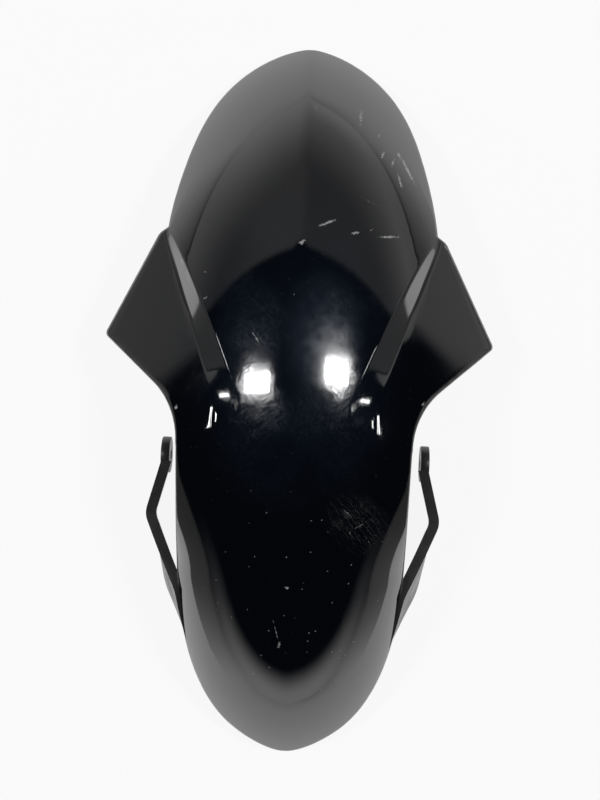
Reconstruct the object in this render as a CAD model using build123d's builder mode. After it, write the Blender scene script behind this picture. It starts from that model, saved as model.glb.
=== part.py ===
"""Front mudguard of a sports motorcycle: one thin moulding, lying on its rim on the floor.

Millimetres and degrees. X is to the right, Y forward to the nose, Z up, and the floor is Z = 0.
The skin is drawn in sections through the wheel axle, each at an angle forward of the top of the arch.
In a section, x runs sideways and depth runs from the crown circle towards the axle.
"""

import os
from math import asin, atan2, cos, radians, sin, sqrt, tan

from build123d import *

# Arch
overall_length = 491.0
crown_radius = 322.0
wall = 3.0
rim_dip = 2.17

# Crown section: two arcs that meet at a soft ridge, flatter in front and rounder behind
front_arc_radius = 160.0
rear_arc_radius = 92.0
front_ridge_tilt = 9.0
rear_ridge_tilt = 2.0
ridge_half_width = 4.0
rounding_angle = 24.0

# Wings: flat panels set down from the crown, starting at a front corner
# Shoulder and tip are half widths, each at a distance behind that corner
corner_x = 90.5
corner_angle = 24.0
corner_lead = 6.0
wing_fall = 36.0
wing_pitch = 11.5
wing_shoulder = (99.0, 6.7)
wing_tip = (133.0, 71.2)
shoulder_fillet = 40.0
tip_fillet = 4.0

# Step between crown and wing: upper crease, then lower crease, at the end where they fade
crease_x = 35.0
foot_x = 53.0

# Waist behind the wings, where the fork legs pass
waist = (76.9, -6.2)
waist_fillet = 50.0

# Nose and tail outlines, seen from above: half widths, each at a distance from the tip
nose_brow = (28.0, 8.2)
nose_shoulder = (60.0, 36.2)
nose_flank = (82.5, 90.5)
tail_flank = (67.5, 68.5)
tail_shoulder = (42.0, 22.0)
tail_brow = (23.0, 7.9)
rear_side = (76.0, -68.0)

# Return lip under the free edges of each wing
lip_depth = 8.0

# Rear stay arms: a web with an inward flange along its top, ending in a bolt pad
# The root is at a distance from the tail tip, and levels are over the axle
arm_thickness = 3.0
arm_flange = 7.0
arm_root = (60.0, 51.5)
arm_top_knee = (77.0, -131.0)
arm_foot_knee = (88.5, -133.0)
arm_elbow = (100.0, -80.0)
arm_tip = (87.5, -26.0)
arm_knee_radius = 70.0
arm_elbow_radius = 16.0
arm_foot_level = 201.53
arm_elbow_level = 241.53
pad_x = 92.5
pad_y = -41.0
pad_radius = 12.5
pad_thickness = 6.0

# Front mounting ears, hung under the wings
ear_x = 79.0
ear_y = 22.0
ear_level = 235.53
ear_top_width = 40.0
ear_radius = 13.0

# Bolt holes
hole_radius = 3.25

# Sections of the skin run on past the outline that trims them
edge_x_top = 100.0
edge_x_growth = 4.0
edge_tilt = 73.0
overshoot = 7.0
nose_fade = 16.0
section_depth = 190.0
middle_overrun = 8.0
inner_overrun = 15.0
stations = (-62, -57, -50, -40, -29, -17, -6, 0, 6, 12, 18,
            corner_angle, 31, 40, 50, 57, 62)

# The rim on both sides of the nose tip stands on the floor
half_length = overall_length / 2
axle_z = rim_dip - sqrt((crown_radius - wall) ** 2 - half_length**2)
wing_slope_x = tan(radians(wing_fall))
wing_slope_y = tan(radians(wing_pitch))


def between(value, low, high):
    return max(low, min(high, value))


def crown_arc(angle):
    """Tilt at the ridge and radius of the crown arc, in the section at this angle."""
    share = between(1 + angle / rounding_angle, 0, 1)
    share = share * share * (3 - 2 * share)
    ridge = radians(rear_ridge_tilt + share * (front_ridge_tilt - rear_ridge_tilt))
    return ridge, rear_arc_radius + share * (front_arc_radius - rear_arc_radius)


def crown(x, angle):
    """Depth and tilt of the crown arc at x."""
    ridge, radius = crown_arc(angle)
    tilt = asin(sin(ridge) + x / radius)
    return radius * (cos(ridge) - cos(tilt)), tilt


def crown_reach(angle):
    """Half width at which the crown arc has turned down to the edge tilt."""
    ridge, radius = crown_arc(angle)
    return radius * (sin(radians(edge_tilt)) - sin(ridge))


corner_radius = crown_radius - crown(corner_x, corner_angle)[0]
corner_y = corner_radius * sin(radians(corner_angle))
corner_z = axle_z + corner_radius * cos(radians(corner_angle))
shoulder_point = (wing_shoulder[0], corner_y - wing_shoulder[1])
tip_point = (wing_tip[0], corner_y - wing_tip[1])


def wing_height(x, y):
    """Height of the flat wing panel over the floor."""
    return corner_z + wing_slope_x * (corner_x - x) + wing_slope_y * (corner_y - y)


def wing(x, angle):
    """Depth of the flat wing panel at x, in the section at this angle."""
    turn = radians(angle)
    rise = wing_height(x, 0) - axle_z
    return crown_radius - rise / (cos(turn) + wing_slope_y * sin(turn))


def rear_height(x, y, inset):
    """Height over the floor of the rear skin at x and y, this far under its outer face."""
    depth, tilt = crown(x, -90)
    radius = crown_radius - depth - inset / cos(tilt)
    return axle_z + sqrt(radius**2 - y**2)


def half_section(angle, inset, overrun):
    """Corners of the right half section as x, depth, and the tilts of the strips that meet there."""
    run = max(0, angle / corner_angle)
    share = between(1 - (angle - corner_angle) / nose_fade, 0, 1)
    step_x = min(crease_x + (corner_x - crease_x) * run, corner_x + overshoot)
    floor_x = min(foot_x + (corner_x + wall - foot_x) * run, corner_x + wall + overshoot)
    edge_x = between(edge_x_top + edge_x_growth * angle, crown_reach(-90), wing_tip[0] + 2 * wall)
    if share < 1 or angle < 0:
        edge_x = min(edge_x, crown_reach(angle))
    corners = []
    if angle >= 0:
        step_depth, crown_tilt = crown(step_x, angle)
        floor_depth = wing(floor_x, angle)
        edge_depth = wing(edge_x, angle)
        if share < 1:
            floor_depth = share * floor_depth + (1 - share) * crown(floor_x, angle)[0]
            edge_depth = share * edge_depth + (1 - share) * crown(edge_x, angle)[0]
        band_tilt = atan2(floor_depth - step_depth, floor_x - step_x)
        wing_tilt = atan2(edge_depth - floor_depth, edge_x - floor_x)
        corners.append((step_x, step_depth, crown_tilt, band_tilt))
        corners.append((floor_x, floor_depth, band_tilt, wing_tilt))
        corners.append((edge_x, edge_depth, wing_tilt, wing_tilt))
    else:
        for x in (step_x, floor_x, edge_x):
            depth, tilt = crown(x, angle)
            corners.append((x, depth, tilt, tilt))
    depth, tilt = crown(ridge_half_width, angle)
    corners.insert(0, (ridge_half_width, depth, tilt, tilt))
    moved = []
    for x, depth, tilt_in, tilt_out in corners:
        mean = (tilt_in + tilt_out) / 2
        shift = inset / cos((tilt_in - tilt_out) / 2)
        moved.append((x - shift * sin(mean), depth + shift * cos(mean), tilt_in, tilt_out))
    x, depth, tilt, _ = moved[-1]
    moved[-1] = (x + overrun * cos(tilt), depth + overrun * sin(tilt), tilt, tilt)
    return moved


def section(angle, inset, overrun):
    """Closed section of the arch; its strips stay apart as edges, so that every section matches."""
    turn = radians(angle)
    right = half_section(angle, inset, overrun)
    points = [(x, crown_radius - depth) for x, depth, _, _ in right]
    ways_in = [(cos(tilt), -sin(tilt)) for _, _, tilt, _ in right]
    ways_out = [(cos(tilt), -sin(tilt)) for _, _, _, tilt in right]
    base = (0, crown_radius - section_depth - overrun)
    strips = [Spline((-points[0][0], points[0][1]), points[0],
                     tangents=[(ways_in[0][0], -ways_in[0][1]), ways_in[0]])]
    for i in range(3):
        strip = Spline(points[i], points[i + 1], tangents=[ways_out[i], ways_in[i + 1]])
        strips.append(strip)
        strips.append(mirror(strip, Plane.YZ))
    strips.append(Line(points[3], base))
    strips.append(mirror(Line(points[3], base), Plane.YZ))
    plane = Plane(origin=(0, 0, axle_z), x_dir=(1, 0, 0), z_dir=(0, -cos(turn), sin(turn)))
    return plane * make_face(strips)


outer_sections = [section(angle, 0, 0) for angle in stations]
middle_sections = [section(angle, wall / 2, middle_overrun) for angle in stations]
inner_sections = [section(angle, wall, inner_overrun) for angle in stations]

# Solid arch, the same to the middle of its wall, and the hollow under its wall
with BuildPart() as arch:
    loft(outer_sections, clean=False)

with BuildPart() as core:
    loft(middle_sections, clean=False)

with BuildPart() as hollow:
    loft(inner_sections, clean=False)

# Outline seen from above
nose_points = [(0, 0), nose_brow, nose_shoulder, nose_flank]
tail_points = [tail_flank, tail_shoulder, tail_brow, (0, 0)]
notch = (corner_x, corner_y + corner_lead)
corner_radii = ((shoulder_point, shoulder_fillet), (tip_point, tip_fillet), (waist, waist_fillet))
with BuildPart() as footprint:
    with BuildSketch() as plan:
        with BuildLine():
            Spline([(x, half_length - back) for x, back in nose_points], notch, tangents=[(1, 0), (0.1, -1)])
            Polyline(notch, shoulder_point, tip_point, waist)
            Spline(waist, rear_side, [(x, ahead - half_length) for x, ahead in tail_points],
                   tangents=[(0, -1), (-1, 0)])
            mirror(about=Plane.YZ)
        make_face()
        for corner, radius in corner_radii:
            fillet(plan.vertices().filter_by(lambda v: abs(v.Y - corner[1]) < 0.1), radius)
    extrude(amount=crown_radius, both=True)

# Lip along the free edges of the right wing
wing_plane = Plane(origin=(corner_x, corner_y, corner_z), x_dir=(0, 1, -wing_slope_y),
                   z_dir=(wing_slope_x, wing_slope_y, 1)).offset(-wall / 2)
lip_zone = [(corner_x - wall, corner_y + wall), (2 * wing_tip[0] - corner_x, tip_point[1]),
            (waist[0] + 3 * wall, waist[1]), (waist[0] + wall, tip_point[1])]
lip_corners = [wing_plane.to_local_coords(Vector(x, y, wing_height(x, y))) for x, y in lip_zone]
with BuildSketch() as inside:
    with BuildLine():
        Polyline((0, notch[1]), notch, shoulder_point, tip_point, waist, (waist[0], rear_side[1]),
                 (0, rear_side[1]), close=True)
    make_face()
    for corner, radius in corner_radii:
        fillet(inside.vertices().filter_by(lambda v: abs(v.Y - corner[1]) < 0.1), radius)
    offset(amount=-wall, mode=Mode.REPLACE)

with BuildPart() as lip:
    with BuildSketch():
        add(plan.sketch)
        add(inside.sketch, mode=Mode.SUBTRACT)
    extrude(amount=crown_radius, both=True)
    with BuildSketch(wing_plane):
        with BuildLine():
            Polyline([(point.X, point.Y) for point in lip_corners], close=True)
        make_face()
    extrude(amount=wall / 2 - lip_depth, mode=Mode.INTERSECT)


# Levels of the right stay arm; its flange starts at the inner face of the skin
root_y = arm_root[1] - half_length
root_z = rear_height(arm_root[0], root_y, wall / 2)
knee_z = rear_height(arm_top_knee[0] - arm_flange, arm_top_knee[1], wall)
elbow_z = axle_z + arm_elbow_level
foot_z = axle_z + arm_foot_level
pad_z = foot_z + pad_radius
pad_top = pad_z + pad_radius


def arm_strip(knee, width):
    """Strip along the right arm seen from above, inward of its outer line."""
    corner_radii = (arm_knee_radius, arm_elbow_radius)
    with BuildSketch() as strip:
        with BuildLine():
            FilletPolyline((arm_root[0], root_y), knee, arm_elbow, arm_tip, radius=corner_radii)
            offset(amount=width, side=Side.LEFT)
        make_face()
    return strip.sketch


# Web of the right stay arm: it flares towards its foot and is cut to its outline from the side
with BuildPart() as arm:
    with BuildSketch(Plane.XY.offset(min(foot_z, root_z))):
        add(arm_strip(arm_foot_knee, arm_thickness))
    with BuildSketch(Plane.XY.offset(max(knee_z, elbow_z))):
        add(arm_strip(arm_top_knee, arm_thickness))
    loft(ruled=True)
    with BuildSketch(Plane.YZ):
        with BuildLine():
            Polyline((root_y, root_z), (arm_top_knee[1], knee_z), (arm_elbow[1], elbow_z),
                     (pad_y, pad_top), (pad_y, foot_z), (arm_foot_knee[1], foot_z), close=True)
        make_face()
        with Locations((pad_y, pad_z)):
            Circle(pad_radius)
    extrude(amount=2 * arm_elbow[0], mode=Mode.INTERSECT)

# Flange along the top of the web
with BuildPart() as flange:
    with BuildSketch():
        add(arm_strip(arm_top_knee, arm_flange))
    extrude(amount=crown_radius, both=True)
    with BuildSketch(Plane.YZ):
        with BuildLine():
            Polyline((arm_top_knee[1], knee_z), (arm_elbow[1], elbow_z), (pad_y, pad_top),
                     (pad_y, pad_top - arm_thickness), (arm_elbow[1], elbow_z - arm_thickness),
                     (arm_top_knee[1], knee_z - arm_thickness), close=True)
        make_face()
    extrude(amount=2 * arm_elbow[0], mode=Mode.INTERSECT)

# Right ear, up to the middle of the skin
ear_plane = Plane(origin=(ear_x - wall, ear_y, axle_z + ear_level), x_dir=(0, 1, 0), z_dir=(1, 0, 0))
with BuildPart() as ear:
    with BuildSketch(ear_plane):
        Circle(ear_radius)
        with BuildLine():
            Polyline((-ear_radius, 0), (ear_radius, 0), (ear_top_width / 2, crown_radius / 4),
                     (-ear_top_width / 2, crown_radius / 4), close=True)
        make_face()
        Circle(hole_radius, mode=Mode.SUBTRACT)
    extrude(amount=wall)
    add(core.part, mode=Mode.INTERSECT)

# Right arm with its flange and bolt pad
pad_plane = Plane(origin=(pad_x - pad_thickness, pad_y, pad_z), x_dir=(0, 1, 0), z_dir=(1, 0, 0))
with BuildPart() as stay:
    add(arm.part)
    add(flange.part)
    with BuildSketch(pad_plane):
        Circle(pad_radius)
    extrude(amount=pad_thickness)
    with BuildSketch(Plane.YZ):
        with Locations((pad_y, pad_z)):
            Circle(hole_radius)
    extrude(amount=2 * pad_x, mode=Mode.SUBTRACT)

# Right half of the skin with its fittings
with BuildPart() as half:
    add(arch.part)
    add(hollow.part, mode=Mode.SUBTRACT)
    add(footprint.part, mode=Mode.INTERSECT)
    split(bisect_by=Plane.YZ, keep=Keep.TOP)
    add(lip.part)
    add(ear.part)
    add(stay.part)

with BuildPart() as mudguard:
    add(half.part)
    mirror(half.part, about=Plane.YZ)

mudguard.part.label = "mudguard"
os.makedirs("parts", exist_ok=True)
export_step(mudguard.part, "parts/mudguard.step")
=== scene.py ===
import math

import bmesh
import bpy
import numpy as np
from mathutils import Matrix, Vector


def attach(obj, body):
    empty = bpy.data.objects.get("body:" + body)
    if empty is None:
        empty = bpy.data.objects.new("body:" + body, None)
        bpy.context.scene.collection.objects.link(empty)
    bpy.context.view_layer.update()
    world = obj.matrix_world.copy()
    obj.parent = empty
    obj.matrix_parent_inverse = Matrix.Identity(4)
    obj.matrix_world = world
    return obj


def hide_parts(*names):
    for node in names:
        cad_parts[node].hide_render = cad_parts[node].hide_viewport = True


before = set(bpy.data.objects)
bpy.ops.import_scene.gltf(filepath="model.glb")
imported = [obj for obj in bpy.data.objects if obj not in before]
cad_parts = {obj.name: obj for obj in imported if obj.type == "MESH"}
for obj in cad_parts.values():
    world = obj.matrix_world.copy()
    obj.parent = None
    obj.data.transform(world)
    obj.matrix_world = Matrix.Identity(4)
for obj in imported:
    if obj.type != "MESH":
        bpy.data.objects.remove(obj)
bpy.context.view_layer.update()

# Millimetres and degrees: X to the right, Y forward to the nose, Z up from the floor.
# An angle is measured at the wheel axle, forward from the top of the arch.
# A depth runs from the crown circle towards the axle.
# The sizes are those of the solid model, apart from a sharper notch at the front corner,
# the rounding of ridge, creases and rim, and a step whose fade grows longer towards the wing's edge.
MM_PER_METRE = 1000.0
HALF_LENGTH = 245.5
CROWN_RADIUS = 322.0
WALL = 3.0
RIM_DIP = 2.17
AXLE_Z = RIM_DIP - math.sqrt((CROWN_RADIUS - WALL) ** 2 - HALF_LENGTH ** 2)

# Crown: two arcs that meet at a soft ridge, flatter in front and rounder behind
FRONT_ARC, REAR_ARC = 160.0, 92.0
FRONT_RIDGE, REAR_RIDGE = 9.0, 2.0
RIDGE_HALF_WIDTH = 5.0
ROUNDING_ANGLE = 24.0
ARC_SINE_LIMIT = 0.985

# Wings: flat panels that start at a front corner
# Shoulder and tip are half widths, each at a distance behind that corner
CORNER_X, CORNER_ANGLE, CORNER_LEAD = 90.5, 24.0, 1.5
WING_FALL, WING_PITCH = 36.0, 11.5
WING_SHOULDER, WING_TIP = (97.0, 2.6), (133.0, 71.2)
SHOULDER_FILLET, TIP_FILLET = 9.0, 4.0
SLOPE_X = math.tan(math.radians(WING_FALL))
SLOPE_Y = math.tan(math.radians(WING_PITCH))

# Step from the crown down to each wing: half widths of its crease and its foot where both fade out
# Both run on a little past the front corner, and their rounding takes no more than a share of the band
# The fade is given as half widths, each with the degrees that it takes there
CREASE_X, FOOT_X = 35.0, 53.0
CREASE_RUN_ON = 7.0
CREASE_WIDTH, FOOT_WIDENING = 1.8, 1.25
CREASE_SHARE = 0.9
FADE_ANGLES = [(51.0, 3.0), (52.5, 6.5), (64.0, 10.0)]

# Outline seen from above: half widths of nose and tail, each at a distance from its tip
NOSE = [(0.0, 0.0), (28.0, 8.2), (60.0, 36.2), (82.5, 90.5)]
NOSE_END_WAY = (0.1, -1)
TAIL = [(67.5, 68.5), (42.0, 22.0), (23.0, 7.9), (0.0, 0.0)]
REAR_SIDE = (76.0, -68.0)
WAIST, WAIST_FILLET = (76.9, -6.2), 50.0

# Edge: rounding of the rim, wider along the wings, and the lip under each wing's edge
RIM_ROUND, WING_RIM_ROUND = 1.4, 3.0
WING_RIM_START, WING_RIM_END = 8.0, 25.0
LIP_DEPTH, LIP_END_Y, LIP_RUN = 8.0, -4.0, 6.0


# Shape of the skin

def crown_arc(angle):
    """Tilt of the ridge and radius of the arcs."""
    share = np.clip(1 + angle / ROUNDING_ANGLE, 0, 1)
    share = share * share * (3 - 2 * share)
    ridge = np.radians(REAR_RIDGE + share * (FRONT_RIDGE - REAR_RIDGE))
    return ridge, REAR_ARC + share * (FRONT_ARC - REAR_ARC)


def crown(x, angle):
    """Depth and slope of the crown arc; the ridge between its two sides is rounded."""
    ridge, radius = crown_arc(angle)
    sine = np.clip(np.sin(ridge) + x / radius, -ARC_SINE_LIMIT, ARC_SINE_LIMIT)
    cosine = np.sqrt(1 - sine * sine)
    depth = radius * (np.cos(ridge) - cosine)
    near = np.clip(1 - x / RIDGE_HALF_WIDTH, 0, 1)
    depth = depth + np.tan(ridge) * RIDGE_HALF_WIDTH * near * near / 2
    return depth, sine / cosine


corner_r = CROWN_RADIUS - float(crown(np.array(CORNER_X), np.array(CORNER_ANGLE))[0])
CORNER_Y = corner_r * math.sin(math.radians(CORNER_ANGLE))
CORNER_Z = AXLE_Z + corner_r * math.cos(math.radians(CORNER_ANGLE))


def wing(x, angle):
    """Depth of the wing's plane."""
    turn = np.radians(angle)
    rise = CORNER_Z + SLOPE_X * (CORNER_X - x) + SLOPE_Y * CORNER_Y - AXLE_Z
    return CROWN_RADIUS - rise / (np.cos(turn) + SLOPE_Y * np.sin(turn))


def rounded(t, width):
    """What a crease of unit bend loses when it is rounded over this width."""
    inside = np.abs(t) < width / 2
    return np.where(inside, (t + width / 2) ** 2 / (2 * width) - np.maximum(0, t), 0)


def creases(angle):
    """Half widths of the crease and the foot, which nearly meet at the front corner."""
    run = np.maximum(0, angle / CORNER_ANGLE)
    foot_end = CORNER_X + WALL
    step = np.minimum(CREASE_X + (CORNER_X - CREASE_X) * run, CORNER_X + CREASE_RUN_ON)
    foot = np.minimum(FOOT_X + (foot_end - FOOT_X) * run, foot_end + CREASE_RUN_ON)
    return step, foot


def stepped(x, angle):
    """Depth of crown, sloping band and wing, with both creases rounded."""
    step, foot = creases(angle)
    step_depth, step_slope = crown(step, angle)
    foot_depth = wing(foot, angle)
    band_slope = (foot_depth - step_depth) / (foot - step)
    wing_slope = wing(foot + 1, angle) - foot_depth
    band = step_depth + band_slope * (x - step)
    depth = np.where(x < step, crown(x, angle)[0], np.where(x < foot, band, wing(x, angle)))
    width = np.minimum(CREASE_WIDTH, CREASE_SHARE * (foot - step))
    depth = depth + (band_slope - step_slope) * rounded(x - step, width)
    return depth + (wing_slope - band_slope) * rounded(x - foot, FOOT_WIDENING * width)


def skin_depth(x, angle):
    """Depth of the outer face: stepped in front of the arch's top, fading to the plain crown behind it."""
    plain = crown(x, angle)[0]
    at_zero = np.zeros_like(angle)
    offset = stepped(x, at_zero) - crown(x, at_zero)[0]
    slope = stepped(x, at_zero + 1) - crown(x, at_zero + 1)[0] - offset
    length = np.interp(x, *zip(*FADE_ANGLES))
    t = np.clip(1 + angle / length, 0, 1)
    fading = offset * t * t * (3 - 2 * t) + slope * length * t * t * (t - 1)
    return np.where(angle >= 0, stepped(x, angle), plain + fading)


# The angle under a point is found in small steps, from a first guess at its depth
SEARCH_STEPS, FIRST_DEPTH = 40, 40
FIRST_SINE_LIMIT, SINE_LIMIT = 0.95, 0.99


def skin_z(x, y):
    """Height of the outer face over the floor, for arrays of x and y."""
    x = np.abs(np.asarray(x, float))
    y = np.asarray(y, float)
    x, y = np.broadcast_arrays(x, y)
    sine = np.clip(y / (CROWN_RADIUS - FIRST_DEPTH), -FIRST_SINE_LIMIT, FIRST_SINE_LIMIT)
    angle = np.degrees(np.arcsin(sine))
    for _ in range(SEARCH_STEPS):
        radius = CROWN_RADIUS - skin_depth(x, angle)
        sine = np.clip(y / radius, -SINE_LIMIT, SINE_LIMIT)
        angle = 0.5 * angle + 0.5 * np.degrees(np.arcsin(sine))
    radius = CROWN_RADIUS - skin_depth(x, angle)
    return AXLE_Z + radius * np.cos(np.radians(angle))


def outer(x, y):
    """Height of the outer face, and how much longer a wall is upright than square to the face."""
    h = 0.05
    z = skin_z(x, y)
    gx = (skin_z(x + h, y) - skin_z(np.maximum(x - h, 0), y)) / (h + np.minimum(x, h))
    gy = (skin_z(x, y + h) - skin_z(x, y - h)) / (2 * h)
    return z, np.sqrt(1 + gx * gx + gy * gy)


# Outline seen from above

def spline(points, start, end, count):
    """Smooth curve through the points with the given end directions."""
    points = np.array(points, float)
    gaps = np.linalg.norm(np.diff(points, axis=0), axis=1)
    n = len(points)
    system = np.zeros((n, n))
    right = np.zeros((n, 2))
    system[0, 0] = system[-1, -1] = 1
    right[0] = np.array(start) / np.linalg.norm(start)
    right[-1] = np.array(end) / np.linalg.norm(end)
    for i in range(1, n - 1):
        a, b = gaps[i - 1], gaps[i]
        system[i, i - 1:i + 2] = b, 2 * (a + b), a
        right[i] = 3 * (b / a * (points[i] - points[i - 1]) + a / b * (points[i + 1] - points[i]))
    ways = np.linalg.solve(system, right)
    made = []
    for i in range(n - 1):
        t = np.linspace(0, 1, count, endpoint=False)[:, None]
        h = gaps[i]
        made.append((1 + 2 * t) * (1 - t) ** 2 * points[i] + t * (1 - t) ** 2 * h * ways[i]
                    + t * t * (3 - 2 * t) * points[i + 1] + t * t * (t - 1) * h * ways[i + 1])
    return np.vstack(made + [points[-1:]])


def round_corner(before, corner, after, radius, count):
    """Arc that rounds one corner of a line."""
    before, corner, after = (np.array(p, float) for p in (before, corner, after))
    u = (before - corner) / np.linalg.norm(before - corner)
    v = (after - corner) / np.linalg.norm(after - corner)
    half = math.acos(float(np.dot(u, v))) / 2
    middle = (u + v) / np.linalg.norm(u + v)
    centre = corner + middle * radius / math.sin(half)
    first = corner + u * radius / math.tan(half) - centre
    last = corner + v * radius / math.tan(half) - centre
    a0 = math.atan2(first[1], first[0])
    turn = math.remainder(math.atan2(last[1], last[0]) - a0, math.tau)
    a = a0 + np.linspace(0, turn, count)
    return centre + radius * np.stack([np.cos(a), np.sin(a)], 1)


def along(line, spacing):
    """Points along a line at about this spacing."""
    steps = np.concatenate([[0], np.cumsum(np.linalg.norm(np.diff(line, axis=0), axis=1))])
    count = max(2, int(round(steps[-1] / spacing)) + 1)
    at = np.linspace(0, steps[-1], count)
    return np.stack([np.interp(at, steps, line[:, i]) for i in (0, 1)], 1)


CURVE_POINTS = 40
SHOULDER_POINTS, TIP_POINTS, WAIST_POINTS = 24, 14, 40
TAIL_GAP = 0.5
BODY_SPACING, SHOULDER_SPACING, TIP_SPACING, WAIST_SPACING = 3.0, 2.2, 0.8, 2.0

notch = (CORNER_X, CORNER_Y + CORNER_LEAD)
shoulder = (WING_SHOULDER[0], CORNER_Y - WING_SHOULDER[1])
wing_tip = (WING_TIP[0], CORNER_Y - WING_TIP[1])
behind_waist = (WAIST[0], WAIST[1] - 1)
nose_points = [(x, HALF_LENGTH - back) for x, back in NOSE] + [notch]
tail_points = [WAIST, REAR_SIDE] + [(x, ahead - HALF_LENGTH) for x, ahead in TAIL]
nose_line = spline(nose_points, (1, 0), NOSE_END_WAY, CURVE_POINTS)
tail_line = spline(tail_points, (0, -1), (-1, 0), CURVE_POINTS)
shoulder_arc = round_corner(notch, shoulder, wing_tip, SHOULDER_FILLET, SHOULDER_POINTS)
tip_arc = round_corner(shoulder, wing_tip, WAIST, TIP_FILLET, TIP_POINTS)
waist_arc = round_corner(wing_tip, WAIST, behind_waist, WAIST_FILLET, WAIST_POINTS)
tail_line = tail_line[tail_line[:, 1] < waist_arc[-1, 1] - TAIL_GAP]

edge_runs = [
    along(nose_line, BODY_SPACING),
    along(np.vstack([nose_line[-1:], shoulder_arc, tip_arc[:1]]), SHOULDER_SPACING),
    along(tip_arc, TIP_SPACING),
    along(np.vstack([tip_arc[-1:], waist_arc]), WAIST_SPACING),
    along(np.vstack([waist_arc[-1:], tail_line]), BODY_SPACING),
]
edge = np.vstack([run[(1 if i else 0):] for i, run in enumerate(edge_runs)])
edge[0, 0] = edge[-1, 0] = 0.0
half, along_y = edge[1:-1].T


# Mesh of the skin: rows along the outline, columns that follow the creases

RIDGE_COLUMNS, CROWN_COLUMNS, CREASE_COLUMNS, BAND_COLUMNS, WING_COLUMNS = 4, 20, 6, 6, 12
RIDGE_SHARE = 0.1
CREASE_MARGIN, CREASE_BAND_SHARE, FOOT_EDGE_SHARE = 0.4, 0.42, 0.4
# Where the skin is narrower than the creases, their columns stay this far inside its edge
# A row's angle is taken at its edge, or at the probe where the edge is further out
PROBE_X = 60.0
STEP_GAP, STEP_GAP_GROWTH, STEP_GAP_RUN, LEAST_STEP_SHARE = 3.0, 0.32, 60.0, 0.55
FOOT_GAP, NARROW_BAND = 3.5, 9.0


def columns(w, y):
    """Half row of x values from the middle to the edge at half width w, closer at ridge and creases."""
    z = float(skin_z(min(w, PROBE_X), y))
    angle = math.degrees(math.atan2(y, z - AXLE_Z))
    step, foot = (float(v) for v in creases(np.array(angle)))
    ahead = max(0.0, y - notch[1])
    gap = STEP_GAP + STEP_GAP_GROWTH * w * (1 - math.exp(-ahead / STEP_GAP_RUN))
    step = min(step, max(w - gap, LEAST_STEP_SHARE * w))
    if w - step < NARROW_BAND:
        foot = min(foot, 0.5 * (w + step))
    else:
        foot = min(foot, max(w - FOOT_GAP, step + 1))
    ridge = min(RIDGE_HALF_WIDTH, RIDGE_SHARE * w)
    inside = min(CREASE_WIDTH / 2 + CREASE_MARGIN, CREASE_BAND_SHARE * (foot - step))
    outside = min(FOOT_WIDENING * inside, FOOT_EDGE_SHARE * (w - foot))
    stops = [(0.0, RIDGE_COLUMNS), (ridge, CROWN_COLUMNS), (step - inside, CREASE_COLUMNS),
             (step + inside, BAND_COLUMNS), (foot - inside, CREASE_COLUMNS),
             (foot + outside, WING_COLUMNS), (w, 0)]
    row = []
    for (a, count), (b, _) in zip(stops, stops[1:]):
        row += list(a + (b - a) * np.arange(count) / count)
    return np.array(row + [w])


def lip_drop(y):
    """Height of the lip under the edge, which runs along the wings only."""
    start = np.clip((notch[1] - y) / LIP_RUN, 0, 1)
    end = np.clip((y - LIP_END_Y) / LIP_RUN, 0, 1)
    full = LIP_DEPTH * math.sqrt(1 + SLOPE_X ** 2 + SLOPE_Y ** 2)
    return full * np.minimum(start, end)


# Limits that keep rim, wall and inner face sound where the outline turns across at nose and tail
LEAST_ACROSS = 0.15
RIM_WIDTH_SHARE, RIM_DROP_SHARE = 0.22, 0.6
INNER_EDGE_SHARE = 0.86
MOST_STRETCH = 3.2

edge_way = np.gradient(edge, axis=0)
edge_way /= np.linalg.norm(edge_way, axis=1)[:, None]
across = np.maximum(np.abs(edge_way[1:-1, 1]), LEAST_ACROSS)
on_wing = np.clip((notch[1] - along_y) / WING_RIM_START, 0, 1)
on_wing = on_wing * np.clip((along_y + WING_RIM_END) / WING_RIM_END, 0, 1)
rim_round = RIM_ROUND + (WING_RIM_ROUND - RIM_ROUND) * on_wing
rim_in = np.minimum(rim_round / across, RIM_WIDTH_SHARE * half)

xs = np.array([columns(w - r, y) for w, y, r in zip(half, along_y, rim_in)])
ys = np.repeat(edge[1:-1, 1:2], xs.shape[1], axis=1)
zs, stretch = outer(xs, ys)
bottoms = zs - WALL * np.minimum(stretch, MOST_STRETCH)
edge_zs, edge_stretch = outer(half, along_y)
edge_drops = np.maximum(lip_drop(along_y), WALL * np.minimum(edge_stretch, MOST_STRETCH))
inner_half = np.maximum(half - WALL / across, INNER_EDGE_SHARE * half)
inner_zs, inner_stretch = outer(inner_half, along_y)
inner_drops = WALL * np.minimum(inner_stretch, MOST_STRETCH)
lip_drops = np.maximum(lip_drop(along_y), inner_drops)

# Points on the rounded rim, and how worn the paint is at each of them and at the foot of the edge, with a
# painted highlight for the bright surroundings mirrored in the rim
RIM_STEPS = (0.25, 0.5, 0.75, 1.0)
RIM_WEAR_AND_HIGHLIGHT = (0.7, 1.0, 1.0, 1.0, 1.0)
LIP_SEAM = 0.004
TIP_ROUND = 0.6
WELD, SLIVER = 0.003, 0.002
PAINTED, BARE = 0, 1


def new_mesh(name, build):
    """Object from a function that fills a bmesh in millimetres."""
    bm = bmesh.new()
    build(bm)
    to_metres = 1 / MM_PER_METRE
    bmesh.ops.scale(bm, vec=(to_metres, to_metres, to_metres), verts=bm.verts)
    bmesh.ops.recalc_face_normals(bm, faces=bm.faces)
    mesh = bpy.data.meshes.new(name)
    bm.to_mesh(mesh)
    bm.free()
    for poly in mesh.polygons:
        poly.use_smooth = True
    obj = bpy.data.objects.new(name, mesh)
    bpy.context.scene.collection.objects.link(obj)
    return obj


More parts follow.
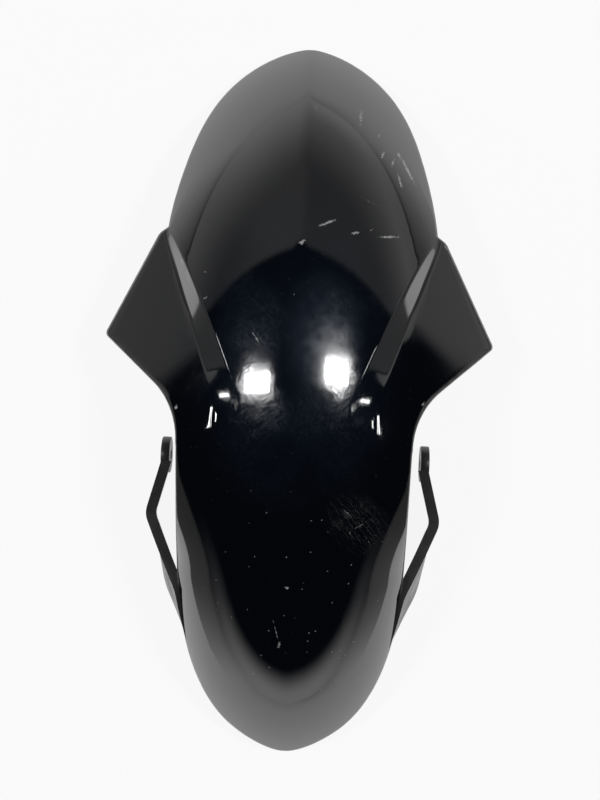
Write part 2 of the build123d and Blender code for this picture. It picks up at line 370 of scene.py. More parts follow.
def half_section(i):
    """Points of one row: outer face, rounded rim, lip and inner face back to the middle."""
    w, edge_z = half[i], edge_zs[i]
    inner_x, inner_z = inner_half[i], inner_zs[i]
    points = list(zip(xs[i], zs[i]))
    start = points[-1]
    end = (w, edge_z - min(rim_round[i], RIM_DROP_SHARE * edge_drops[i]))
    for t in RIM_STEPS:
        a, b, c = (1 - t) ** 2, 2 * t * (1 - t), t * t
        points.append((a * start[0] + b * w + c * end[0], a * start[1] + b * edge_z + c * end[1]))
    points.append((w, edge_z - edge_drops[i]))
    points.append((inner_x, inner_z - lip_drops[i]))
    points.append((inner_x, inner_z - inner_drops[i] - LIP_SEAM))
    for j in range(xs.shape[1] - 2, -1, -1):
        x = xs[i, j] * inner_x / xs[i, -1]
        points.append((x, float(np.interp(x, xs[i], bottoms[i]))))
    return points


def close_tip(bm, ring, y, edge_place):
    """Faces from a row's ring to the tip of the nose or the tail."""
    n = len(ring)
    tip_z, tip_stretch = (float(v) for v in outer(np.array(0.0), np.array(y)))
    top = bm.verts.new((0, y, tip_z - TIP_ROUND))
    low = bm.verts.new((0, y, tip_z - WALL * tip_stretch))
    for j in range(n):
        a, b = ring[j], ring[(j + 1) % n]
        place = min(j, n - 1 - j)
        if place < edge_place:
            bm.faces.new((a, b, top))
        elif place == edge_place:
            bm.faces.new((a, b, low, top) if j < n / 2 else (a, b, top, low))
        else:
            bm.faces.new((a, b, low)).material_index = BARE


def build_skin(bm):
    """Rings across the skin, joined one to the next, then both tips."""
    rim = bm.verts.layers.float.new("rim")
    rim_place = xs.shape[1]
    edge_place = rim_place + len(RIM_STEPS) - 1
    rings = []
    for i, y in enumerate(along_y):
        right = half_section(i)
        left = [(-x, z) for x, z in right[1:-1]]
        rings.append([bm.verts.new((x, y, z)) for x, z in right + left[::-1]])
    n = len(rings[0])
    for ring in rings:
        for j in range(n):
            place = min(j, n - j) - rim_place
            # Rim points carry worn paint and a painted highlight of the bright surroundings
            ring[j][rim] = RIM_WEAR_AND_HIGHLIGHT[place] if 0 <= place < len(RIM_WEAR_AND_HIGHLIGHT) else 0.0
    for a, b in zip(rings, rings[1:]):
        for j in range(n):
            face = bm.faces.new((a[j], a[(j + 1) % n], b[(j + 1) % n], b[j]))
            face.material_index = PAINTED if min(j, n - 1 - j) <= edge_place else BARE
    close_tip(bm, rings[0], edge[0, 1], edge_place)
    close_tip(bm, rings[-1], edge[-1, 1], edge_place)
    bmesh.ops.remove_doubles(bm, verts=bm.verts, dist=WELD)
    bmesh.ops.dissolve_degenerate(bm, edges=bm.edges, dist=SLIVER)


skin = new_mesh("skin", build_skin)


# Stay arms: a web that flares towards its foot, with a flange along its top and a bolt pad
ARM_ROOT, ARM_ELBOW, ARM_TIP = (60.0, 51.5 - HALF_LENGTH), (100.0, -80.0), (87.5, -26.0)
TOP_KNEE, FOOT_KNEE = (77.0, -131.0), (88.5, -133.0)
KNEE_RADIUS, ELBOW_RADIUS = 70.0, 16.0
KNEE_POINTS, ELBOW_POINTS = 24, 16
ARM_WALL, ARM_FLANGE = 3.0, 7.0
ARM_EDGE, ARM_EDGE_ANGLE = 0.8, 40
FLANGE_START_Y, FLANGE_START = -150, 0.3
ROOT_HALF_HEIGHT = 0.3
ELBOW_Z = 40.0
PAD_X, PAD_Y, PAD_Z, PAD_RADIUS, PAD_THICK = 92.5, -41.0, 12.5, 12.5, 6.0
PAD_EDGE, PAD_EDGE_MIDDLE, PAD_SEGMENTS = 0.7, 0.2, 64
HOLE_RADIUS = 3.25
# The foot of the web rises where it meets the round pad
FOOT_LIFT, FOOT_LIFT_START, FOOT_LIFT_RUN = 1.8, 8, 4.4
# Sections along Y: first, last and how many, ending just short of the pad's hole
WEB_CLEARANCE = 0.6
WEB_END_Y = PAD_Y - HOLE_RADIUS - WEB_CLEARANCE
ARM_SECTIONS = [(ARM_ROOT[1], -90, 36), (-88, -72, 15), (-70, WEB_END_Y, 10)]


def under_skin(x, y, inset):
    """Height of a point this far inside the outer face."""
    z, s = outer(np.array(x), np.array(y))
    return float(z) - inset * float(s)


ROOT_Z = under_skin(ARM_ROOT[0], ARM_ROOT[1], WALL / 2)
KNEE_Z = under_skin(TOP_KNEE[0] - ARM_FLANGE, TOP_KNEE[1], WALL)


def arm_line(knee):
    """Outer line of the arm seen from above."""
    knee_arc = round_corner(ARM_ROOT, knee, ARM_ELBOW, KNEE_RADIUS, KNEE_POINTS)
    elbow_arc = round_corner(knee, ARM_ELBOW, ARM_TIP, ELBOW_RADIUS, ELBOW_POINTS)
    return np.vstack([[ARM_ROOT], knee_arc, elbow_arc, [ARM_TIP]])


top_line, foot_line = arm_line(TOP_KNEE), arm_line(FOOT_KNEE)


def arm_x(y, z):
    """Outer face of the web, and how much longer a wall is along X than square to that face."""
    share = z / KNEE_Z
    at = [(1 - share) * np.interp(v, foot_line[:, 1], foot_line[:, 0])
          + share * np.interp(v, top_line[:, 1], top_line[:, 0]) for v in (y - 0.5, y, y + 0.5)]
    return at[1], math.sqrt(1 + (at[2] - at[0]) ** 2)


def build_arm(bm, side):
    """Web and flange, from the root in the tail's side wall to the pad."""
    rings = []
    for y in np.concatenate([np.linspace(*run) for run in ARM_SECTIONS]):
        top = np.interp(y, [ARM_ROOT[1], TOP_KNEE[1], ARM_ELBOW[1], PAD_Y],
                        [ROOT_Z + ROOT_HALF_HEIGHT, KNEE_Z, ELBOW_Z, PAD_Z + PAD_RADIUS])
        low = np.interp(y, [ARM_ROOT[1], FOOT_KNEE[1], PAD_Y], [ROOT_Z - ROOT_HALF_HEIGHT, 0, 0])
        low = low + FOOT_LIFT * max(0, (y - PAD_Y + FOOT_LIFT_START) / FOOT_LIFT_RUN) ** 2
        wide = np.interp(y, [FLANGE_START_Y, TOP_KNEE[1]], [ARM_WALL + FLANGE_START, ARM_FLANGE])
        deep = min(ARM_WALL, 0.5 * (top - low))
        corners = [(0.0, top), (wide, top), (wide, top - deep),
                   (ARM_WALL, top - deep), (ARM_WALL, low), (0.0, low)]
        ring = []
        for inward, z in corners:
            x, s = arm_x(y, z)
            ring.append(bm.verts.new((side * (x - inward * s), y, z)))
        rings.append(ring)
    join_rings(bm, zip(rings, rings[1:]))
    bm.faces.new(rings[0])
    bm.faces.new(rings[-1])


def join_rings(bm, pairs):
    """Faces between each pair of closed rings."""
    for a, b in pairs:
        for j in range(len(a)):
            i = (j + 1) % len(a)
            bm.faces.new((a[j], a[i], b[i], b[j]))


def build_pad(bm, side):
    """Round bolt pad with its hole, as one turned ring."""
    flat, back = PAD_RADIUS - PAD_EDGE, PAD_THICK - PAD_EDGE
    bend, back_bend = PAD_RADIUS - PAD_EDGE_MIDDLE, PAD_THICK - PAD_EDGE_MIDDLE
    mouth = HOLE_RADIUS + PAD_EDGE
    profile = [(HOLE_RADIUS, PAD_EDGE), (mouth, 0), (flat, 0),
               (bend, PAD_EDGE_MIDDLE), (PAD_RADIUS, PAD_EDGE),
               (PAD_RADIUS, back), (bend, back_bend),
               (flat, PAD_THICK), (mouth, PAD_THICK), (HOLE_RADIUS, back)]
    rings = []
    for k in range(PAD_SEGMENTS):
        a = math.tau * k / PAD_SEGMENTS
        c, s = math.cos(a), math.sin(a)
        rings.append([bm.verts.new((side * (PAD_X - depth), PAD_Y + r * c, PAD_Z + r * s))
                      for r, depth in profile])
    join_rings(bm, zip(rings, rings[1:] + rings[:1]))


# Front ears under the wings: round below the hole, with sides that lean up to the skin
EAR_X, EAR_Y, EAR_Z, EAR_RADIUS = 79.0, 22.0, 34.0, 13.0
EAR_LEAN, LEAST_LEAN = 7.0 / 80.5, 0.06
EAR_EDGE, EAR_SEGMENTS = 0.6, 96
ROOF_STEPS, LEAST_SINE = 30, 0.01


def ear_outline():
    """Cosine, sine and reach of the outline round the hole, up to the middle of the wing's wall."""
    turn = np.linspace(0, math.tau, EAR_SEGMENTS, endpoint=False)
    cosine, sine = np.cos(turn), np.sin(turn)
    lean = np.maximum(np.abs(cosine) - EAR_LEAN * sine, LEAST_LEAN)
    reach = np.where(sine > 0, EAR_RADIUS / lean, EAR_RADIUS)
    middle = np.full_like(reach, EAR_X - WALL / 2)
    for _ in range(ROOF_STEPS):
        roof, roof_stretch = outer(middle, EAR_Y + reach * cosine)
        room = roof - roof_stretch * WALL / 2 - EAR_Z
        lower = 0.5 * reach + 0.5 * room / np.maximum(sine, LEAST_SINE)
        reach = np.where(reach * sine > room, lower, reach)
    return list(zip(cosine, sine, reach))


ear_points = ear_outline()


def build_ear(bm, side):
    """Flat ear with its hole and softened edges."""
    mouth, back = HOLE_RADIUS + EAR_EDGE, WALL - EAR_EDGE
    loops = []
    for c, s, reach in ear_points:
        flat = reach - EAR_EDGE
        profile = [(HOLE_RADIUS, EAR_EDGE), (mouth, 0), (flat, 0), (reach, EAR_EDGE),
                   (reach, back), (flat, WALL), (mouth, WALL), (HOLE_RADIUS, back)]
        loops.append([bm.verts.new((side * (EAR_X - depth), EAR_Y + r * c, EAR_Z + r * s))
                      for r, depth in profile])
    join_rings(bm, zip(loops, loops[1:] + loops[:1]))


def soften(obj, width, angle):
    """Small bevel along edges sharper than this angle."""
    bevel = obj.modifiers.new("edges", "BEVEL")
    bevel.width = width / MM_PER_METRE
    bevel.segments = 2
    bevel.limit_method = "ANGLE"
    bevel.angle_limit = math.radians(angle)
    bevel.harden_normals = True


fittings = []
for name, side in (("right", 1), ("left", -1)):
    arm = new_mesh("arm_" + name, lambda bm: build_arm(bm, side))
    soften(arm, ARM_EDGE, ARM_EDGE_ANGLE)
    pad = new_mesh("arm_pad_" + name, lambda bm: build_pad(bm, side))
    ear = new_mesh("ear_" + name, lambda bm: build_ear(bm, side))
    fittings += [arm, pad, ear]

for obj in [skin] + fittings:
    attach(obj, "root")
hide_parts("mudguard")


# Nodes

def node(tree, kind, **inputs):
    """New node with its named inputs set to constants or linked to sockets."""
    made = tree.nodes.new(kind)
    for name, value in inputs.items():
        socket = made.inputs[name]
        if isinstance(value, bpy.types.NodeSocket):
            tree.links.new(value, socket)
        else:
            socket.default_value = value
    return made


def link_math(tree, kind, a, b=0.0):
    """Result of a calculation with sockets or numbers."""
    made = tree.nodes.new("ShaderNodeMath")
    made.operation = kind
    for socket, value in zip(made.inputs, (a, b)):
        if isinstance(value, (int, float)):
            socket.default_value = value
        else:
            tree.links.new(value, socket)
    return made.outputs[0]


def plus(tree, a, b):
    return link_math(tree, "ADD", a, b)


def minus(tree, a, b):
    return link_math(tree, "SUBTRACT", a, b)


def times(tree, a, b):
    return link_math(tree, "MULTIPLY", a, b)


def larger(tree, a, b):
    return link_math(tree, "MAXIMUM", a, b)


def size_of(tree, a):
    return link_math(tree, "ABSOLUTE", a)


def link_step(tree, value, low, high, to_low=0.0, to_high=1.0):
    """Smooth step from one value to another."""
    made = tree.nodes.new("ShaderNodeMapRange")
    made.interpolation_type = "SMOOTHSTEP"
    tree.links.new(value, made.inputs["Value"])
    made.inputs["From Min"].default_value = low
    made.inputs["From Max"].default_value = high
    made.inputs["To Min"].default_value = to_low
    made.inputs["To Max"].default_value = to_high
    return made.outputs["Result"]


# The mix node's sockets for colours
MIX_A, MIX_B, MIX_RESULT = 6, 7, 2


def link_mix(tree, share, a, b):
    """Colour between two colours, each a constant or a socket."""
    made = tree.nodes.new("ShaderNodeMix")
    made.data_type = "RGBA"
    tree.links.new(share, made.inputs["Factor"])
    for socket, value in ((made.inputs[MIX_A], a), (made.inputs[MIX_B], b)):
        if isinstance(value, tuple):
            socket.default_value = value
        else:
            tree.links.new(value, socket)
    return made.outputs[MIX_RESULT]


def noise(tree, vector, scale, detail):
    return node(tree, "ShaderNodeTexNoise", Vector=vector, Scale=scale, Detail=detail).outputs["Fac"]


# A size so large that a pattern doesn't change along Z
FAR = 1.0e5


def millimetres(tree):
    """Coordinates of the object in millimetres."""
    coords = tree.nodes.new("ShaderNodeTexCoord")
    scale = (MM_PER_METRE, MM_PER_METRE, MM_PER_METRE)
    return node(tree, "ShaderNodeMapping", Vector=coords.outputs["Object"], Scale=scale).outputs[0]


def placed(tree, vector, place, turn, size):
    """Coordinates centred on a place, turned about Z and divided by a size."""
    rotation = (0, 0, math.radians(turn))
    made = node(tree, "ShaderNodeMapping", Vector=vector, Location=place, Rotation=rotation, Scale=size)
    made.vector_type = "TEXTURE"
    return made.outputs[0]


def spot(tree, vector, place, turn, size):
    """One in the middle of an ellipse on the skin, falling to nothing at its edge."""
    inside = placed(tree, vector, (place[0], place[1], 0), turn, (size[0] / 2, size[1] / 2, FAR))
    made = node(tree, "ShaderNodeTexGradient", Vector=inside)
    made.gradient_type = "SPHERICAL"
    return made.outputs["Fac"]


# Gloss paint: noises as scale and detail, spots as place, direction and size,
# hairlines as direction and width, and steps as where they start and end and the values there
NOISE_MIDDLE = 0.5
PATCHES, GRAIN = (0.02, 3.0), (0.7, 2.0)
MIDDLE_SPOT = ((0.0, 28.0), 0, (180.0, 230.0))
HAIR_LENGTH, HAIR_SPACING, HAIR_NOISE = 26.0, 0.8, (1.0, 3.0)
HAIRLINES = [(38, 0.010), (-47, 0.010), (78, 0.007)]
HAIR_BY_PATCH, HAIR_BY_MIDDLE = (0.40, 0.62, 0.15, 1.0), (0.0, 0.7, 0.12, 1.0)
CLAWED_LINES, CLAWED_SPOT, CLAWED_SHARE = (130, 0.018), ((43.0, -77.0), -35, (50.0, 40.0)), 0.3
# Two dull patches worn by rubbing, where the lamps reflect; their colour is a painted sheen of the lamps
RUBBED_AND_SHEEN_LEFT, RUBBED_AND_SHEEN_LEFT_SHARE = ((-28.0, 26.0), 0, (64.0, 90.0)), 0.4
RUBBED_AND_SHEEN_RIGHT = ((17.0, 38.0), 0, (62.0, 100.0))
RUB_AND_SHEEN_NOISE, RUB_AND_SHEEN_BY_NOISE, RUB_AND_SHEEN_BY_SPOT = (0.12, 4.0), (0.3, 0.7, 0.6, 1.0), (0.0, 0.8)
# Hazy middle of fine scratches, its pale bluish colour a painted sheen of scattered lamp light
HAZE_AND_SHEEN_BY_PATCH, HAZE_AND_SHEEN_BY_MIDDLE = (0.3, 0.7, 0.35, 1.0), (0.0, 0.8)
DUST_SCALE, DUST_GRAIN, DUST_CHOSEN = 0.20, (0.13, 0.07), (0.55, 0.60)
DUSTY_SPOT, DUST_BY_SPOT = ((8.0, -130.0), 0, (150.0, 190.0)), (0.0, 0.5, 0.05, 0.7)
RIM_NOISE, RIM_BY_NOISE = (0.15, 3.0), (0.3, 0.6, 0.45, 1.0)
SCUFF_LENGTHEN, SCUFF_WIDEN, SCUFF_RAGGED = 1.5, 1.3, 1.3
SCUFF_INSIDE, SCUFF_SHOWN = (0.02, 0.12), (0.28, 0.75, 0.0, 0.85)
# Colour of the hazy middle: a painted sheen of lamp light scattered by the fine scratches
BASE_COLOUR, HAZE_AND_SHEEN_COLOUR = (0.0009, 0.0010, 0.0013, 1), (0.0045, 0.0075, 0.0135, 1)
# Colour of the dull patches: a painted sheen of the lamps reflected there
RUB_AND_SHEEN_COLOUR, HAIR_COLOUR, HAIR_TINT = (0.020, 0.028, 0.042, 1), (0.035, 0.045, 0.06, 1), 0.4
# Colour of the rim: worn paint and a painted highlight of the bright surroundings
RIM_WEAR_AND_HIGHLIGHT_COLOUR = (0.10, 0.10, 0.095, 1)
DUST_COLOUR, SCUFF_COLOUR = (0.30, 0.30, 0.29, 1), (0.42, 0.42, 0.41, 1)
ROUGH_BY_PATCH = (0.3, 0.7, 0.03, 0.06)
HAIR_ROUGH, WORN_ROUGH, RUB_ROUGH = 0.20, 0.3, 0.20
COAT_WORN_OFF, COAT_ROUGHNESS, COAT_IOR = 0.8, 0.02, 1.6
HAIR_DEPTH, SCUFF_DEPTH = -0.4, -1.0
RELIEF_STRENGTH, PAINT_RELIEF, PLASTIC_RELIEF = 0.25, 0.00003, 0.00006

# Scuffs and chips in the paint: place, direction, length, width and strength
SCUFFS = [
    ((5.5, 195.4), 100, 5, 1.6, 0.5), ((35.9, 192.0), 88, 15, 3.0, 0.7), ((48.4, 179.6), 60, 5, 1.6, 0.6),
    ((51.3, 165.6), 70, 6, 2.2, 0.9), ((62.4, 167.6), 110, 6, 2.4, 0.9), ((68.7, 157.0), 118, 20, 2.6, 1.0),
    ((63.2, 148.0), 108, 12, 2.2, 0.9), ((58.2, 160.8), 75, 8, 1.8, 0.9), ((40.8, 131.7), 155, 20, 1.0, 0.4),
    ((15.8, 113.6), 25, 12, 2.4, 1.0), ((34.0, 108.5), 15, 8, 2.2, 0.9), ((56.3, 108.1), 6, 15, 2.0, 1.0),
    ((44.3, 111.5), 40, 5, 1.4, 0.6), ((0.5, 100.1), 40, 4.5, 3.4, 1.0), ((96.3, 106.1), 120, 7, 2.0, 0.6),
    ((-78.3, 87.8), 115, 5, 1.8, 0.9), ((-73.3, 78.3), 110, 9, 1.5, 1.0), ((-60.8, 80.4), 0, 3, 1.6, 0.6),
    ((-60.4, 63.3), 20, 4, 2.0, 0.7), ((-25.8, 38.2), 125, 13, 1.5, 0.7), ((-77.1, -7.2), 90, 3.2, 2.6, 1.0),
    ((82.6, 0.8), 60, 3.5, 1.6, 0.8), ((-0.7, -119.4), 0, 2.2, 2.0, 1.0), ((-4.9, -159.1), 80, 5, 2.4, 0.8),
    ((-7.0, -150.0), 105, 20, 1.0, 0.6), ((36.0, -70.0), 140, 9, 0.9, 0.6), ((44.0, -78.0), 30, 12, 0.9, 0.6),
    ((50.0, -88.0), 120, 10, 1.0, 0.6), ((38.0, -82.0), 75, 8, 0.8, 0.5), ((-3.0, 66.0), 90, 3, 1.2, 0.5),
]


def hairlines(tree, vector, turn, width):
    """Fine straight scratches in one direction."""
    lines = placed(tree, vector, (0, 0, 0), turn, (HAIR_LENGTH, HAIR_SPACING, FAR))
    away = size_of(tree, minus(tree, noise(tree, lines, *HAIR_NOISE), NOISE_MIDDLE))
    return link_step(tree, away, width, 0.0)


def hair_share(tree, mm, patches, middle):
    """Hairlines in three directions, dense in the middle of the skin and in patches."""
    hair = hairlines(tree, mm, *HAIRLINES[0])
    for turn, width in HAIRLINES[1:]:
        hair = larger(tree, hair, hairlines(tree, mm, turn, width))
    hair = times(tree, hair, link_step(tree, patches, *HAIR_BY_PATCH))
    return times(tree, hair, link_step(tree, middle, *HAIR_BY_MIDDLE))


def wear_share(tree, mm):
    """Scuffs with ragged edges, and a patch of fainter scratches behind the right wing."""
    wear = None
    for place, turn, length, width, strength in SCUFFS:
        size = (SCUFF_LENGTHEN * length, SCUFF_WIDEN * width)
        mark = times(tree, spot(tree, mm, place, turn, size), strength)
        wear = mark if wear is None else larger(tree, wear, mark)
    ragged = times(tree, minus(tree, noise(tree, mm, *GRAIN), NOISE_MIDDLE), SCUFF_RAGGED)
    wear = times(tree, link_step(tree, wear, *SCUFF_INSIDE), plus(tree, wear, ragged))
    clawed = times(tree, hairlines(tree, mm, *CLAWED_LINES), spot(tree, mm, *CLAWED_SPOT))
    return larger(tree, link_step(tree, wear, *SCUFF_SHOWN), times(tree, clawed, CLAWED_SHARE))


def dust_share(tree, mm):
    """Single specks of dust, most of them on the tail."""
    cells = node(tree, "ShaderNodeTexVoronoi", Vector=mm, Scale=DUST_SCALE)
    chosen = node(tree, "ShaderNodeSeparateColor", Color=cells.outputs["Color"])
    dust = link_step(tree, cells.outputs["Distance"], *DUST_GRAIN)
    dust = times(tree, dust, link_step(tree, chosen.outputs[0], *DUST_CHOSEN))
    return times(tree, dust, link_step(tree, spot(tree, mm, *DUSTY_SPOT), *DUST_BY_SPOT))


def rub_and_sheen_share(tree, mm):
    """Two dull patches on the crown where the lamps reflect, worn by rubbing; their colour is a painted sheen
    of the lamps.
    """
    rub_patches_and_sheen = times(tree, spot(tree, mm, *RUBBED_AND_SHEEN_LEFT), RUBBED_AND_SHEEN_LEFT_SHARE)
    rub_patches_and_sheen = larger(tree, rub_patches_and_sheen, spot(tree, mm, *RUBBED_AND_SHEEN_RIGHT))
    uneven = link_step(tree, noise(tree, mm, *RUB_AND_SHEEN_NOISE), *RUB_AND_SHEEN_BY_NOISE)
    return times(tree, link_step(tree, rub_patches_and_sheen, *RUB_AND_SHEEN_BY_SPOT), uneven)


def rim_wear_and_highlight_share(tree, mm):
    """Paler rounded rim: worn paint, and a painted highlight standing for the bright surroundings mirrored
    along it.
    """
    rim = node(tree, "ShaderNodeAttribute")
    rim.attribute_name = "rim"
    uneven = link_step(tree, noise(tree, mm, *RIM_NOISE), *RIM_BY_NOISE)
    return times(tree, rim.outputs["Fac"], uneven)


def gloss_paint():
    """Black paint under a clear coat, with its marks of use, a painted sheen over its finely scratched middle
    and two dull patches, and a painted highlight along the rim.
    """
    made = bpy.data.materials.new("gloss_paint")
    made.use_nodes = True
    tree = made.node_tree
    mm = millimetres(tree)
    patches = noise(tree, mm, *PATCHES)
    middle = spot(tree, mm, *MIDDLE_SPOT)
    hair = hair_share(tree, mm, patches, middle)
    wear = wear_share(tree, mm)
    rub_and_sheen = rub_and_sheen_share(tree, mm)
    rim_wear_and_highlight = rim_wear_and_highlight_share(tree, mm)
    worn = larger(tree, wear, rim_wear_and_highlight)
    # Painted sheen: a pale bluish cast over the finely scratched middle, for lamp light scattered by the
    # scratches
    haze_and_sheen = link_step(tree, middle, *HAZE_AND_SHEEN_BY_MIDDLE)
    haze_and_sheen = times(tree, haze_and_sheen, link_step(tree, patches, *HAZE_AND_SHEEN_BY_PATCH))

    colour = link_mix(tree, haze_and_sheen, BASE_COLOUR, HAZE_AND_SHEEN_COLOUR)
    # Painted sheen of the lamps in the dull patches
    colour = link_mix(tree, rub_and_sheen, colour, RUB_AND_SHEEN_COLOUR)
    colour = link_mix(tree, times(tree, hair, HAIR_TINT), colour, HAIR_COLOUR)
    # Painted highlight along the rim, together with its worn paint
    colour = link_mix(tree, rim_wear_and_highlight, colour, RIM_WEAR_AND_HIGHLIGHT_COLOUR)
    colour = link_mix(tree, dust_share(tree, mm), colour, DUST_COLOUR)
    colour = link_mix(tree, wear, colour, SCUFF_COLOUR)

    rough = link_step(tree, patches, *ROUGH_BY_PATCH)
    rough = plus(tree, rough, times(tree, hair, HAIR_ROUGH))
    rough = plus(tree, rough, times(tree, worn, WORN_ROUGH))
    rough = plus(tree, rough, times(tree, rub_and_sheen, RUB_ROUGH))
    coat = minus(tree, 1.0, times(tree, worn, COAT_WORN_OFF))
    relief = plus(tree, times(tree, hair, HAIR_DEPTH), times(tree, wear, SCUFF_DEPTH))
    bump = node(tree, "ShaderNodeBump", Height=relief, Strength=RELIEF_STRENGTH, Distance=PAINT_RELIEF)

    shader = tree.nodes["Principled BSDF"]
    tree.links.new(colour, shader.inputs["Base Color"])
    tree.links.new(rough, shader.inputs["Roughness"])
    tree.links.new(coat, shader.inputs["Coat Weight"])
    tree.links.new(bump.outputs[0], shader.inputs["Normal"])
    tree.links.new(bump.outputs[0], shader.inputs["Coat Normal"])
    shader.inputs["Coat Roughness"].default_value = COAT_ROUGHNESS
    shader.inputs["Coat IOR"].default_value = COAT_IOR
    return made


# Plastics: colours and roughness from low to high, over the same patches
PLASTIC_PATCHES, PLASTIC_GRAIN = (0.06, 4.0), (2.2, 2.0)
PLASTIC_STEP = (0.3, 0.7)
BARE_COLOURS, BARE_ROUGH = ((0.010, 0.010, 0.011, 1), (0.020, 0.020, 0.020, 1)), (0.45, 0.60)
SATIN_COLOURS, SATIN_ROUGH = ((0.026, 0.026, 0.026, 1), (0.046, 0.046, 0.045, 1)), (0.30, 0.42)


def plastic(name, colours, roughness):
    """Grained plastic, a little uneven in colour and shine."""
    made = bpy.data.materials.new(name)
    made.use_nodes = True
    tree = made.node_tree
    mm = millimetres(tree)
    patches = noise(tree, mm, *PLASTIC_PATCHES)
    grain = noise(tree, mm, *PLASTIC_GRAIN)
    bump = node(tree, "ShaderNodeBump", Height=grain, Strength=RELIEF_STRENGTH, Distance=PLASTIC_RELIEF)
    shader = tree.nodes["Principled BSDF"]
    tree.links.new(link_mix(tree, patches, *colours), shader.inputs["Base Color"])
    tree.links.new(link_step(tree, patches, *PLASTIC_STEP, *roughness), shader.inputs["Roughness"])
    tree.links.new(bump.outputs[0], shader.inputs["Normal"])
    return made


skin.data.materials.append(gloss_paint())
skin.data.materials.append(plastic("bare_plastic", BARE_COLOURS, BARE_ROUGH))
satin = plastic("satin_plastic", SATIN_COLOURS, SATIN_ROUGH)
for obj in fittings:
    obj.data.materials.append(satin)


# Floor, in metres: a pale strip that fans out to the front and the back, darker towards both sides
FLOOR_HALF = 6.0
CAMERA_TURN = 0.0383
SHEET_HALF, SHEET_END, SHEET_MIDDLE = 0.2125, 0.225, -0.06
FAN_DARK, FAN_PALE = 0.35, 1.75
FAN_ON_RIGHT, FAR_AWAY = (0.1, 0.5, 1.0, 0.82), (0.3, 1.6, 1.0, 0.88)
FLOOR_DARK, FLOOR_PALE = (0.17, 0.17, 0.17, 1), (0.85, 0.85, 0.85, 1)
FLOOR_ROUGHNESS, FLOOR_GLOW = 0.8, 0.9
WHITE = (1, 1, 1, 1)


def pale_floor(tree):
    """Share of the floor's pale colour at a place."""
    coords = tree.nodes.new("ShaderNodeTexCoord")
    split = node(tree, "ShaderNodeSeparateXYZ", Vector=coords.outputs["Object"])
    x, y, _ = split.outputs
    sheet_x = size_of(tree, x)
    sheet_y = size_of(tree, minus(tree, y, SHEET_MIDDLE))
    strip = link_step(tree, sheet_x, SHEET_HALF, SHEET_END, 1.0, 0.0)
    fan = link_step(tree, link_math(tree, "DIVIDE", sheet_y, sheet_x), FAN_DARK, FAN_PALE)
    fan = times(tree, fan, link_step(tree, x, *FAN_ON_RIGHT))
    reach = plus(tree, times(tree, x, x), times(tree, y, y))
    reach = link_math(tree, "SQRT", reach)
    return times(tree, larger(tree, strip, fan), link_step(tree, reach, *FAR_AWAY))


def floor_paint():
    """Matt floor that keeps the shadow and looks pale where it is seen or mirrored."""
    made = bpy.data.materials.new("floor")
    made.use_nodes = True
    tree = made.node_tree
    share = pale_floor(tree)
    shader = tree.nodes["Principled BSDF"]
    shader.inputs["Roughness"].default_value = FLOOR_ROUGHNESS
    tree.links.new(link_mix(tree, share, FLOOR_DARK, FLOOR_PALE), shader.inputs["Base Color"])
    ray = tree.nodes.new("ShaderNodeLightPath")
    seen = larger(tree, ray.outputs["Is Camera Ray"], ray.outputs["Is Glossy Ray"])
    seen = larger(tree, seen, ray.outputs["Is Transmission Ray"])
    glow = node(tree, "ShaderNodeEmission", Color=WHITE)
    blend = tree.nodes.new("ShaderNodeMixShader")
    tree.links.new(times(tree, seen, times(tree, share, FLOOR_GLOW)), blend.inputs[0])
    tree.links.new(shader.outputs[0], blend.inputs[1])
    tree.links.new(glow.outputs[0], blend.inputs[2])
    tree.links.new(blend.outputs[0], tree.nodes["Material Output"].inputs["Surface"])
    return made


bm = bmesh.new()
bmesh.ops.create_grid(bm, x_segments=1, y_segments=1, size=FLOOR_HALF)
floor_mesh = bpy.data.meshes.new("floor")
bm.to_mesh(floor_mesh)
bm.free()
floor_mesh.materials.append(floor_paint())
floor = bpy.data.objects.new("floor", floor_mesh)
bpy.context.scene.collection.objects.link(floor)
floor.rotation_euler = (0, 0, CAMERA_TURN)


# World: a dark ceiling, a pale wall in front up to a straight edge, a low pale wall behind
# Steps run over the look direction: where they start and end, and the values there
CEILING = (0.008, 0.011, 0.019, 1)
FRONT_SLOPE, FRONT_EDGE = 0.92, (-0.02, 0.03)
WALL_LEAN, WALL_LEAN_TOP, WALL_LEAN_START, WALL_END = 1.76, 0.2, -0.034, (-0.012, 0.010)
FRONT_BY_HEIGHT, FRONT_LEFT_END = (0.42, -0.10, 0.21, 0.90), (-0.95, -0.5, 0.45, 1.0)
RIGHT_LOW, RIGHT_HIGH, RIGHT_BY_HEIGHT = (0.4, 0.9, 1.0, 0.5), (-0.2, 0.35, 1.0, 0.72), (0.0, 0.12)
REAR_START, REAR_BY_HEIGHT, REAR_BY_SIDE = (0.15, -0.35), (0.22, 0.04, 0.0, 0.88), (0.85, 0.05)


def front_wall(tree, x, y, z):
    """Brightness of the wall in front, dimmer upwards and towards both ends."""
    top = link_step(tree, minus(tree, y, times(tree, z, FRONT_SLOPE)), *FRONT_EDGE)
    lean = times(tree, link_math(tree, "MINIMUM", z, WALL_LEAN_TOP), WALL_LEAN)
    lean = plus(tree, lean, WALL_LEAN_START)
    end = minus(tree, y, times(tree, size_of(tree, x), lean))
    level = times(tree, link_step(tree, z, *FRONT_BY_HEIGHT), link_step(tree, x, *FRONT_LEFT_END))
    low = link_step(tree, x, *RIGHT_LOW)
    high = link_step(tree, x, *RIGHT_HIGH)
    rise = times(tree, minus(tree, high, low), link_step(tree, z, *RIGHT_BY_HEIGHT))
    level = times(tree, level, plus(tree, low, rise))
    return times(tree, level, times(tree, top, link_step(tree, end, *WALL_END)))


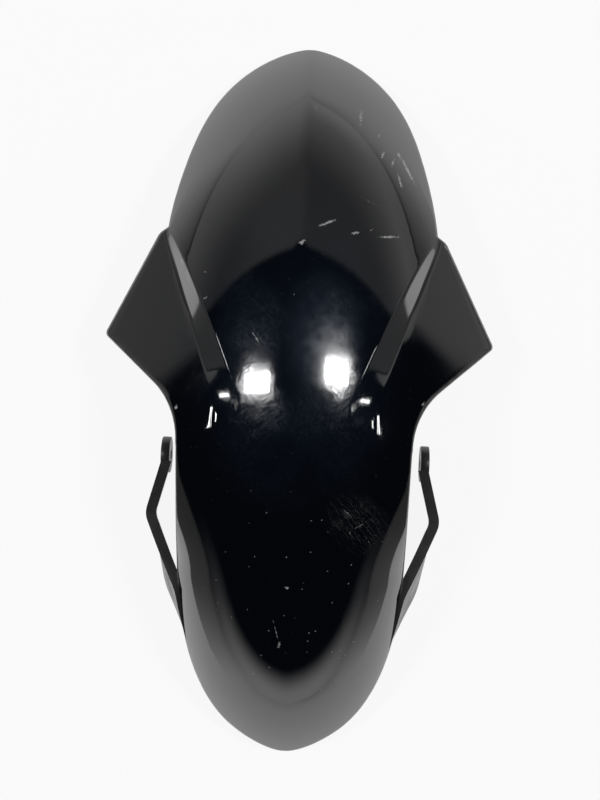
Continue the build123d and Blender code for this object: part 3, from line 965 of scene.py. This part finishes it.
def rear_wall(tree, x, y, z):
    """Brightness of the low wall behind, dimmer upwards and towards both sides."""
    level = link_step(tree, z, *REAR_BY_HEIGHT)
    level = times(tree, level, link_step(tree, times(tree, x, x), *REAR_BY_SIDE))
    return times(tree, level, link_step(tree, y, *REAR_START))


world = bpy.data.worlds.new("studio")
bpy.context.scene.world = world
world.use_nodes = True
tree = world.node_tree
coords = tree.nodes.new("ShaderNodeTexCoord")
look = node(tree, "ShaderNodeSeparateXYZ", Vector=coords.outputs["Generated"]).outputs
level = larger(tree, front_wall(tree, *look), rear_wall(tree, *look))
tree.links.new(link_mix(tree, level, CEILING, WHITE), tree.nodes["Background"].inputs["Color"])


# Lamps, in metres: two bright ones and their glow at the ceiling, looking down, and one to each side
CEILING_Z = 2.0
SIDE_TARGET = (0.0, 0.0, 0.1)


def lamp(name, place, target, size, radiance):
    """Rectangular lamp of this radiance."""
    data = bpy.data.lights.new(name, "AREA")
    data.shape = "RECTANGLE"
    data.size, data.size_y = size
    data.energy = radiance * math.pi * size[0] * size[1]
    obj = bpy.data.objects.new(name, data)
    bpy.context.scene.collection.objects.link(obj)
    obj.location = place
    obj.rotation_euler = (Vector(target) - Vector(place)).to_track_quat("-Z", "Y").to_euler()


def ceiling_lamp(name, x, y, size, radiance):
    lamp(name, (x, y, CEILING_Z), (x, y, 0.0), size, radiance)


ceiling_lamp("ceiling_lamp_left", x=-1.55, y=0.175, size=(0.70, 0.21), radiance=55)
ceiling_lamp("ceiling_lamp_right", x=1.51, y=0.32, size=(0.62, 0.27), radiance=58)
ceiling_lamp("ceiling_glow_left", x=-1.465, y=0.335, size=(0.55, 0.095), radiance=2)
ceiling_lamp("ceiling_glow_right", x=1.42, y=0.485, size=(0.35, 0.05), radiance=2)
lamp("side_lamp_left", place=(-2.65, 0.22, 1.0), target=SIDE_TARGET, size=(0.44, 0.17), radiance=16)
lamp("side_lamp_right", place=(2.30, 0.17, 1.0), target=SIDE_TARGET, size=(0.36, 0.14), radiance=16)


# Camera straight above, as in the photograph, with focal length and shift in its pixels
CAMERA_PLACE = (0.01722, 0.00086, 1.0)
PHOTO_HEIGHT = 800
FOCAL_PIXELS = 1419.8
SHIFT_PIXELS = (-22.43, 0.12)
SENSOR_HEIGHT = 36

camera_data = bpy.data.cameras.new("camera")
camera_data.lens = FOCAL_PIXELS / PHOTO_HEIGHT * SENSOR_HEIGHT
camera_data.shift_x = SHIFT_PIXELS[0] / PHOTO_HEIGHT
camera_data.shift_y = SHIFT_PIXELS[1] / PHOTO_HEIGHT
camera = bpy.data.objects.new("camera", camera_data)
bpy.context.scene.collection.objects.link(camera)
camera.location = CAMERA_PLACE
camera.rotation_euler = (0, 0, CAMERA_TURN)
bpy.context.scene.camera = camera

bpy.context.scene.view_settings.view_transform = "Standard"
